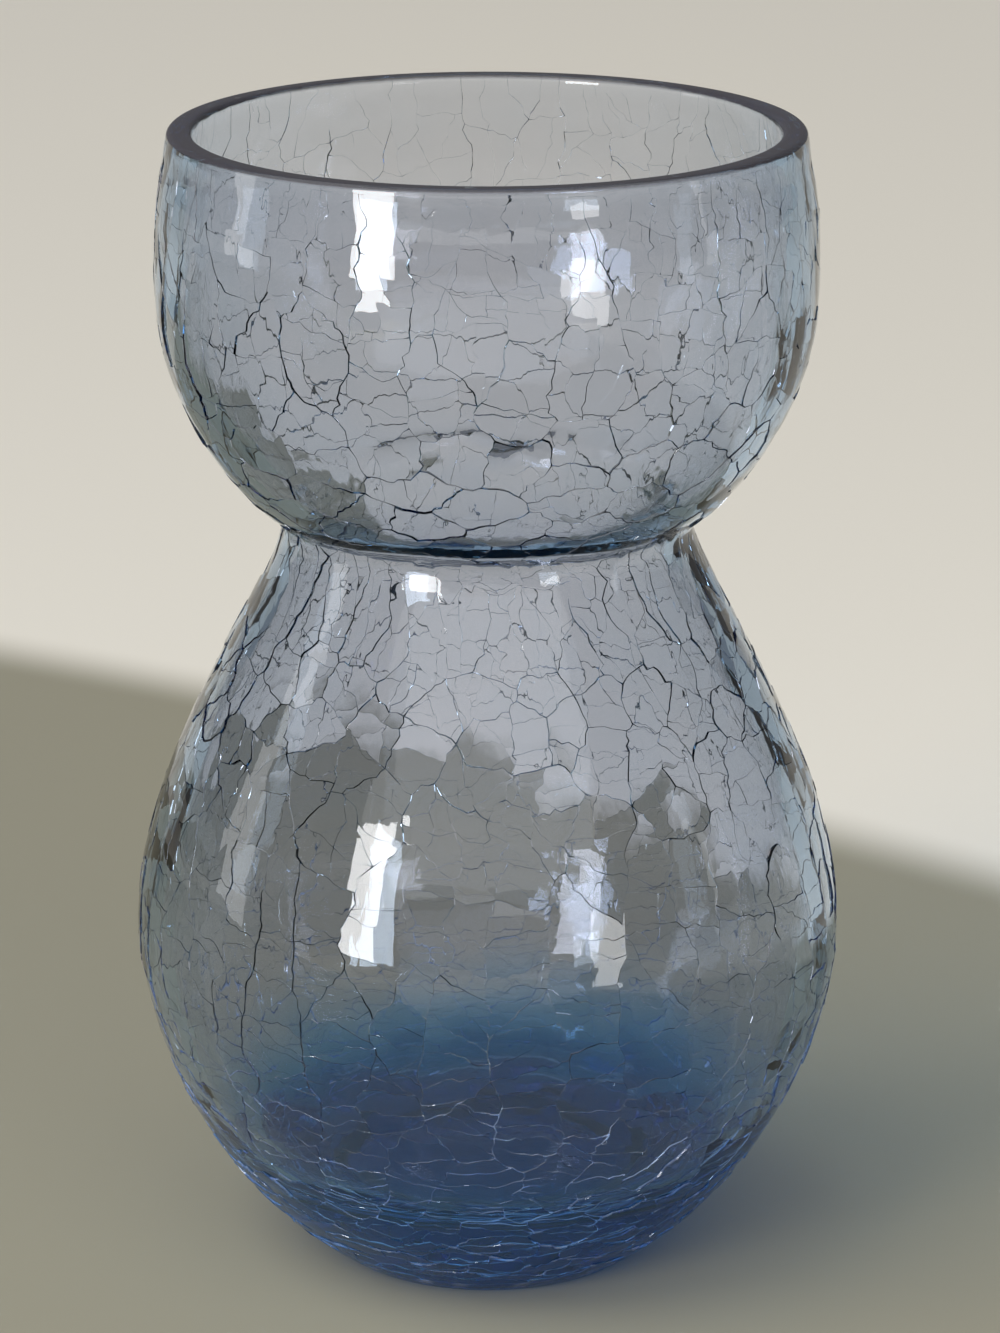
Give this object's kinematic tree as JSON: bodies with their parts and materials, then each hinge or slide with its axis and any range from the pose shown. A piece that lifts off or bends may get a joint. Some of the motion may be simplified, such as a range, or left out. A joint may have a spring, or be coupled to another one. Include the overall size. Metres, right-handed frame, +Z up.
{
  "type": "bulb forcing vase",
  "caption": "Blown blue crackle glass vase for forcing a bulb in water: an open bulb cup above a pinched waist, with a round water bowl below.",
  "frame": {"origin": "middle of the foot, on the plane that the vase stands on", "axes": "+Z up along the axis of the vase, from the foot to the rim; X and Y are alike, because the vase is round"},
  "size_m": [0.092, 0.092, 0.15],
  "materials": {
    "blue_crackle_glass": "clear pale blue glass, glossy, with a net of open surface cracks over the outside and a smooth inside"
  },
  "bodies": {
    "root": {"vase_body": "blue_crackle_glass"}
  },
  "joints": []
}
